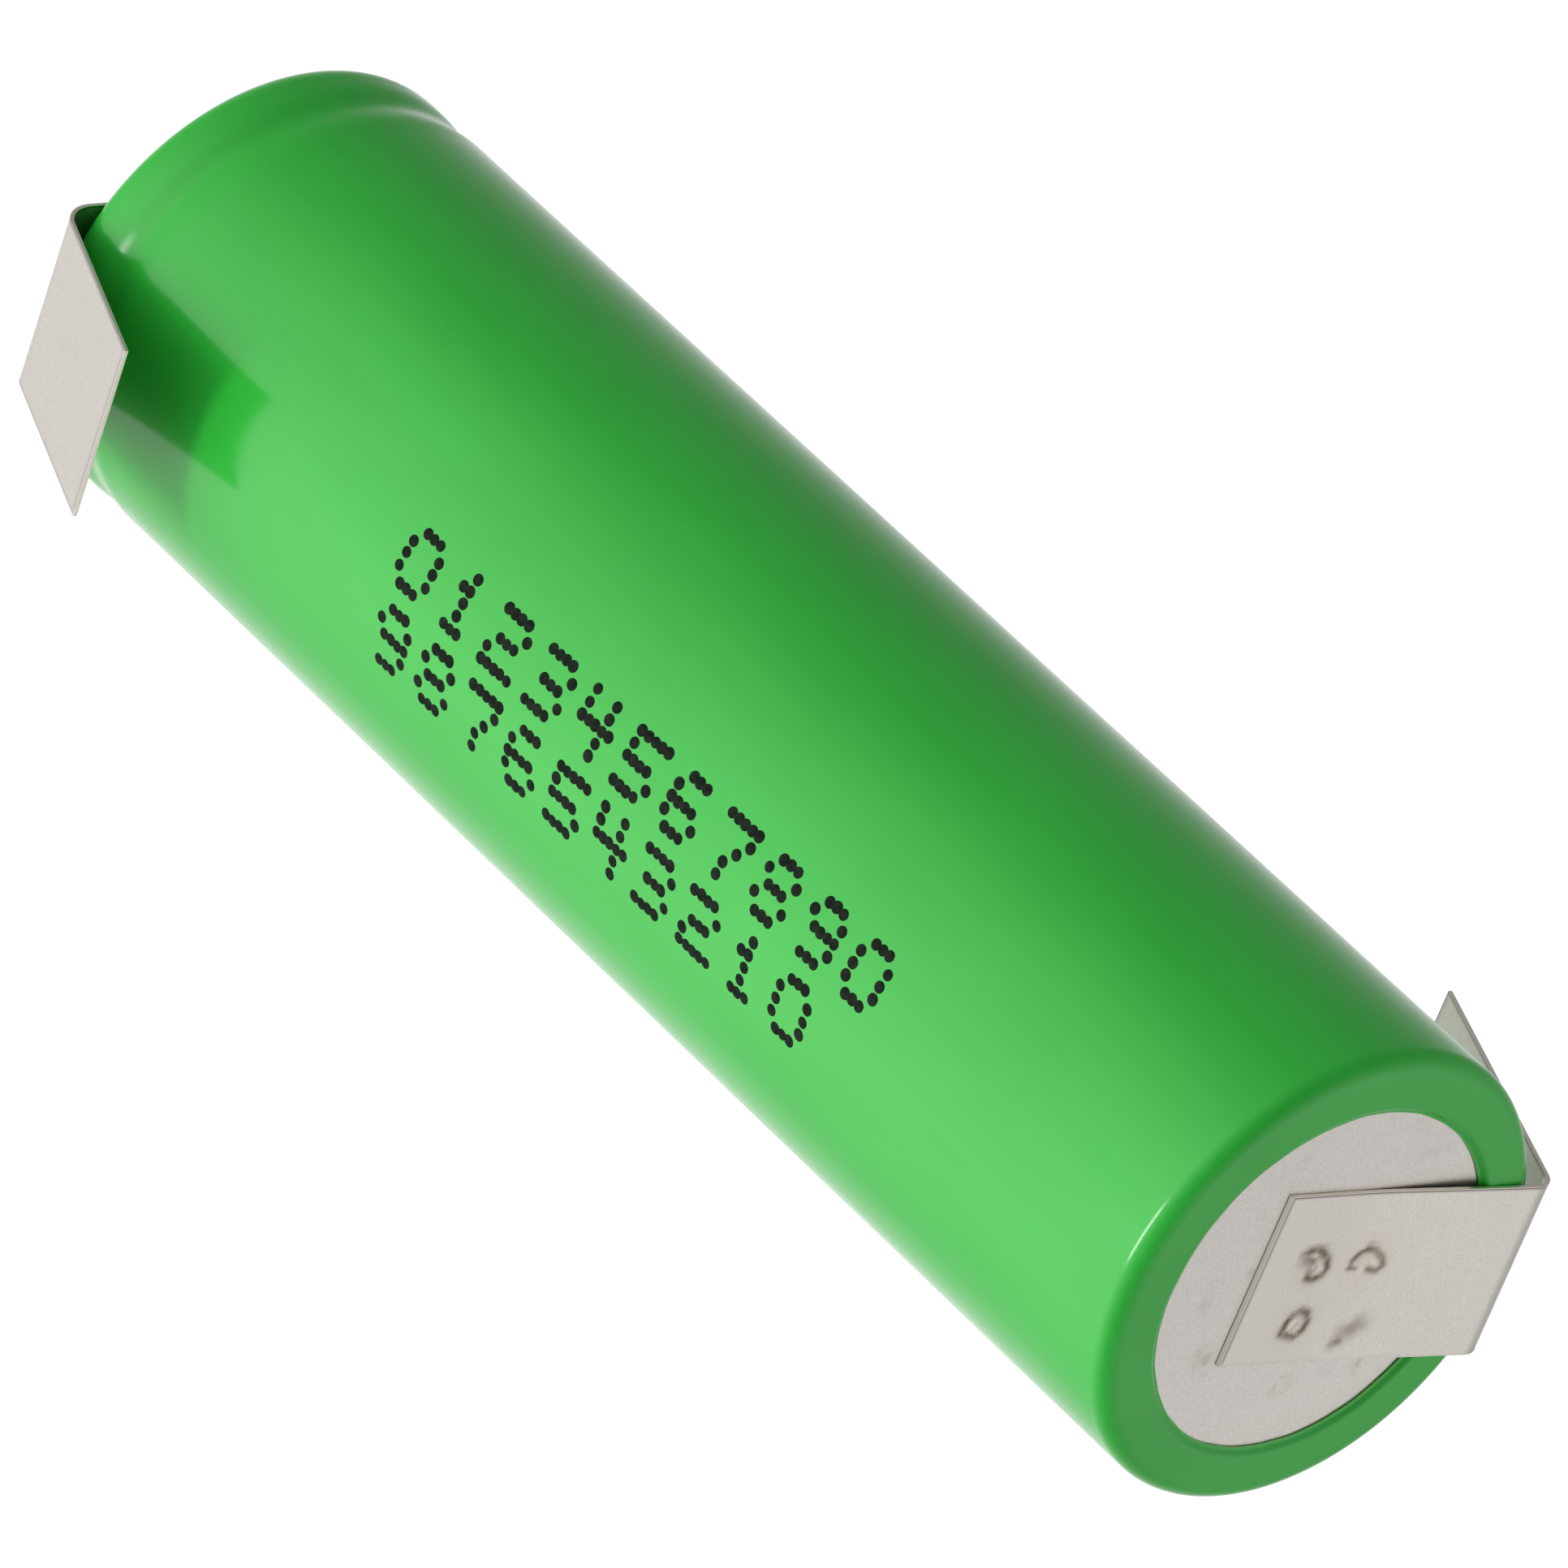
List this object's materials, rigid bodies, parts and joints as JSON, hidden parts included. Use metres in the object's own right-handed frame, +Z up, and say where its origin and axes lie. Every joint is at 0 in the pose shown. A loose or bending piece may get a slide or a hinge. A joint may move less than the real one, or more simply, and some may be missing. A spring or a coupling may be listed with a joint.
{
  "type": "cylindrical lithium-ion cell",
  "caption": "Cylindrical rechargeable cell in a glossy shrink sleeve, with a bendable nickel solder tab on each end for joining it into a pack.",
  "frame": {"origin": "on the ground under the middle of the bounding box, with the cell lying on its side", "axes": "+X along the cell towards its positive end, +Z up; the negative tab is bent out on the -Y side and the positive tab on the +Y side"},
  "size_m": [0.0656, 0.0278, 0.0184],
  "materials": {
    "sleeve_film": "glossy heat-shrunk film",
    "can_steel": "satin nickel-plated steel",
    "tab_nickel": "rolled nickel strip",
    "cap_steel": "satin nickel-plated steel",
    "vent_aluminium": "rolled aluminium",
    "lead_aluminium": "rolled aluminium",
    "lead_nickel": "rolled nickel strip",
    "pin_steel": "rolled stainless sheet",
    "gasket_plastic": "moulded polypropylene",
    "ptc_polymer": "carbon-filled polymer",
    "insulator_plastic": "moulded polymer",
    "washer_board": "white insulating board",
    "insulator_board": "insulating board",
    "separator_film": "porous polymer film",
    "cathode_coating": "coated aluminium foil",
    "anode_coating": "coated copper foil",
    "tape_film": "adhesive polyester tape",
    "print_ink": "dried marking ink",
    "weld_scorch": "heat-tinted nickel"
  },
  "bodies": {
    "cell": {"shrink_sleeve": "sleeve_film", "steel_can": "can_steel", "crimp_gasket": "gasket_plastic", "positive_cap": "cap_steel", "ptc_ring": "ptc_polymer", "burst_disc": "vent_aluminium", "cid_insulator_ring": "insulator_plastic", "cid_contact_disc": "vent_aluminium", "top_insulating_washer": "washer_board", "upper_insulator_disc": "insulator_board", "lower_insulator_disc": "insulator_board", "inner_separator": "separator_film", "cathode_sheet": "cathode_coating", "outer_separator": "separator_film", "anode_sheet": "anode_coating", "winding_tape": "tape_film", "centre_pin": "pin_steel", "positive_lead": "lead_aluminium", "negative_lead": "lead_nickel", "negative_tab_weld_leg": "tab_nickel", "positive_tab_weld_leg": "tab_nickel"},
    "positive_tab_leg": {"positive_tab_free_leg": "tab_nickel"},
    "negative_tab_leg": {"negative_tab_free_leg": "tab_nickel"}
  },
  "joints": [
    {"name": "positive_tab_bend", "type": "hinge", "parent": "cell", "child": "positive_tab_leg", "pos_m": [0.03176, 0.00953, 0.01268], "axis": [0, 0.3472, -0.9378], "range_deg": [-8, 65]},
    {"name": "negative_tab_bend", "type": "hinge", "parent": "cell", "child": "negative_tab_leg", "pos_m": [-0.0321, -0.00801, 0.00524], "axis": [0, 0.4339, -0.901], "range_deg": [-8, 65]}
  ]
}
